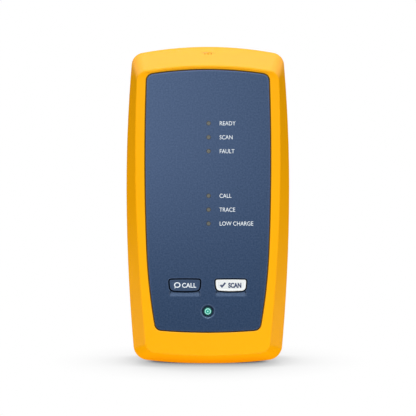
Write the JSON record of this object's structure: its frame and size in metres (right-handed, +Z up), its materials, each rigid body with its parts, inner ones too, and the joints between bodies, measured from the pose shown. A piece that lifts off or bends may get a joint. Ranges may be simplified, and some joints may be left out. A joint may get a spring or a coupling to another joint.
{
  "type": "handheld cable certification tester",
  "caption": "Handheld remote unit of a cable certification tester: curved bezel, panel with status lamps and press keys, rear module with link socket, battery and tilt stand.",
  "frame": {"origin": "middle of the foot at the lower end, halfway through the depth", "axes": "+Z up along the length, +X to the right of someone facing the panel, -Y out of the panel"},
  "size_m": [0.1334, 0.0666, 0.2597],
  "materials": {
    "bezel_yellow": "fine-textured moulded yellow plastic",
    "panel_blue": "fine-textured moulded slate blue plastic",
    "case_charcoal": "fine-textured moulded charcoal plastic",
    "key_blue": "smooth moulded slate blue plastic",
    "key_white": "smooth moulded white plastic",
    "key_green": "satin green plastic",
    "boot_black": "matt black silicone",
    "gasket_black": "matt black foam rubber",
    "lens_clear": "clear light pipe, unlit",
    "lamp_white": "small lamp body",
    "board_green": "solder-masked circuit board",
    "tin_plate": "tinned sheet",
    "screw_steel": "zinc-plated steel",
    "contact_gold": "gold-plated contact",
    "connector_black": "moulded black connector",
    "ribbon_white": "flat cable",
    "stand_charcoal": "moulded charcoal plastic"
  },
  "bodies": {
    "tester": {"battery_contacts": "contact_gold", "battery_pack": "case_charcoal", "battery_screws": "screw_steel", "board_screws": "screw_steel", "busy_led": "lamp_white", "busy_lens": "lens_clear", "buzzer": "connector_black", "case_gasket": "gasket_black", "case_screws": "screw_steel", "charge_led": "lamp_white", "charge_lens": "lens_clear", "charger_jack": "connector_black", "charger_pin": "tin_plate", "control_panel": "panel_blue", "fault_led": "lamp_white", "fault_lens": "lens_clear", "front_bezel": "bezel_yellow", "headset_jack": "connector_black", "io_board": "board_green", "io_board_screws": "screw_steel", "io_ribbon_socket": "connector_black", "io_shield": "tin_plate", "link_contacts": "contact_gold", "link_socket": "connector_black", "module_board": "board_green", "module_cover": "case_charcoal", "module_plug": "connector_black", "module_screws": "screw_steel", "module_shield": "tin_plate", "module_socket": "connector_black", "module_tray": "case_charcoal", "panel_gasket": "gasket_black", "power_switch": "connector_black", "ready_led": "lamp_white", "ready_lens": "lens_clear", "rear_case": "case_charcoal", "ribbon_cable": "ribbon_white", "sound_mesh": "gasket_black", "stand_pin": "screw_steel", "start_switch": "connector_black", "trace_led": "lamp_white", "trace_lens": "lens_clear", "ui_board": "board_green", "ui_ribbon_socket": "connector_black", "usb_port": "tin_plate", "voice_led": "lamp_white", "voice_lens": "lens_clear", "voice_switch": "connector_black"},
    "voice_key": {"voice_keycap": "key_blue", "voice_boot": "boot_black", "voice_plunger": "connector_black"},
    "start_key": {"start_keycap": "key_white", "start_boot": "boot_black", "start_plunger": "connector_black"},
    "power_key": {"power_keycap": "key_green", "power_boot": "boot_black", "power_plunger": "connector_black"},
    "stand": {"tilt_stand": "stand_charcoal", "stand_foot": "boot_black"}
  },
  "joints": [
    {"name": "voice_press", "type": "slide", "parent": "tester", "child": "voice_key", "axis": [0, 1, 0], "range_m": [0, 0.0006], "stiffness_N_per_m": 3000},
    {"name": "start_press", "type": "slide", "parent": "tester", "child": "start_key", "axis": [0, 1, 0], "range_m": [0, 0.0006], "stiffness_N_per_m": 3000},
    {"name": "power_press", "type": "slide", "parent": "tester", "child": "power_key", "axis": [0, 1, 0], "range_m": [0, 0.0006], "stiffness_N_per_m": 3000},
    {"name": "stand_swing", "type": "hinge", "parent": "tester", "child": "stand", "pos_m": [0, 0.03127, 0.1775], "axis": [1, 0, 0], "range_deg": [0, 38]}
  ]
}
